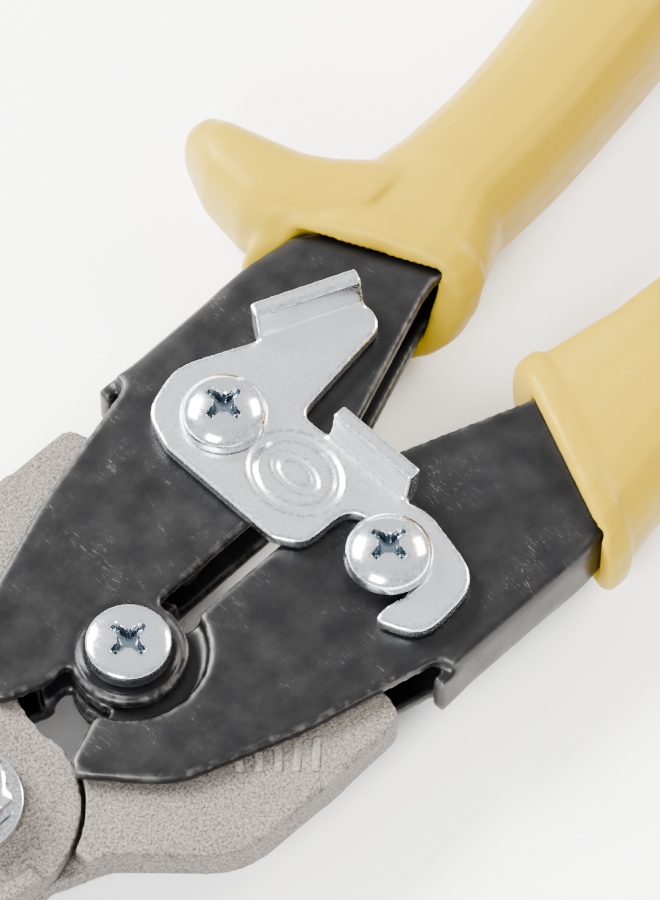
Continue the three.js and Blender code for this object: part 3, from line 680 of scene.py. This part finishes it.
def coil_spring():
    low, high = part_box("return_spring")
    wire = 0.33 * MM
    group, sockets = spring_nodes()
    piece = add_piece("return_coil", bpy.data.meshes.new("return_coil"))
    winding = piece.modifiers.new("coil", "NODES")
    winding.node_group = group
    for name, value in (("Turns", 11.0), ("Radius", (high.z - low.z) / 2 - wire),
                        ("Length", high.y - low.y - 2 * wire), ("Wire", wire), ("Material", spring_wire)):
        winding[sockets[name]] = value
    apply_modifiers(piece)
    piece.data.transform(Matrix.Translation(((low.x + high.x) / 2, low.y + wire, (low.z + high.z) / 2))
                         @ Matrix.Rotation(-math.pi / 2, 4, "X"))
    piece.data.materials.clear()
    piece.data.materials.append(spring_wire)
    piece.data.shade_smooth()
    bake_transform(piece)
    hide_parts("return_spring")


def lip_face(back, y, slant):
    """The middle of a grip's lip and the level direction that points behind it, into the grip."""
    turn = math.copysign(math.radians(slant), y)
    return Vector((handle_pivot.x - back * MM, y * MM, 0)), Vector((-math.cos(turn), math.sin(turn), 0))


for side, core_start, *lip_at in (("right", 5, 63.5, -21.9, 25), ("left", 2, 61.9, 19.8, 23.5)):
    side_lip = lip_face(*lip_at)
    pressed_handle(side + "_channel", side + "_pressed_handle", side + "_handle", side_lip)
    dipped_grip(side + "_grip", side + "_dipped_grip", side + "_handle", side + "_channel", side_lip, core_start)
forged_jaw("top_jaw", "top_forged_jaw", "top_jaw")
forged_jaw("bottom_jaw", "bottom_forged_jaw", "bottom_jaw")
stamped_latch()
fasteners()
raised_bars()
coil_spring()
for node_name, cad_node in frame["nodes"].items():
    if not cad_node.hide_render:
        cad_node.data.materials.clear()
        cad_node.data.materials.append(screw_zinc)


# ---- floor, light and camera ----
def pale_floor():
    mesh = bpy.data.meshes.new("floor")
    edit = bmesh.new()
    bmesh.ops.create_grid(edit, x_segments=1, y_segments=1, size=3.0)
    edit.to_mesh(mesh)
    edit.free()
    floor = add_piece("floor", mesh)
    look = Look("pale_floor")
    look.set(Roughness=0.9)
    look.shader.inputs["Base Color"].default_value = (0.96, 0.95, 0.94, 1)
    mesh.materials.append(look.material)


def soft_box(name, place, target, size, watts, tint=(1, 1, 1)):
    lamp = bpy.data.lights.new(name, "AREA")
    lamp.shape = "RECTANGLE"
    lamp.size, lamp.size_y = size
    lamp.energy = watts
    lamp.color = tint
    holder = bpy.data.objects.new(name, lamp)
    scene.collection.objects.link(holder)
    holder.location = place
    holder.rotation_euler = (Vector(target) - Vector(place)).to_track_quat("-Z", "Y").to_euler()


def studio_light():
    world = bpy.data.worlds.new("studio")
    scene.world = world
    world.use_nodes = True
    background = world.node_tree.nodes["Background"]
    background.inputs["Color"].default_value = (0.96, 0.975, 1.0, 1)
    background.inputs["Strength"].default_value = 1.2
    middle = (handle_pivot.x - 35 * MM, 0, mid_z)
    soft_box("key", (0.15, -1.0, 0.75), middle, (0.7, 0.5), 110, (1.0, 0.985, 0.96))
    soft_box("fill", (0.9, 0.3, 0.7), middle, (0.5, 0.5), 50)
    soft_box("back", (-1.0, 0.2, 0.6), middle, (0.5, 0.4), 26, (1.0, 0.90, 0.78))


def camera():
    azimuth, elevation = math.radians(134.8), math.radians(58.5)
    distance = 0.8
    target = Vector((handle_pivot.x - 40.5 * MM, -2.9 * MM, plate_top))
    back = Vector((math.sin(azimuth) * math.cos(elevation),
                   -math.cos(azimuth) * math.cos(elevation), math.sin(elevation)))
    right = Vector((math.cos(azimuth), math.sin(azimuth), 0))
    up = back.cross(right)
    lens = bpy.data.cameras.new("camera")
    lens.lens = 238.08
    lens.clip_start = 0.01
    view = bpy.data.objects.new("camera", lens)
    scene.collection.objects.link(view)
    turn = Matrix((right, up, back)).transposed().to_4x4()
    view.matrix_world = Matrix.Translation(target + back * distance) @ turn
    scene.camera = view


pale_floor()
studio_light()
camera()
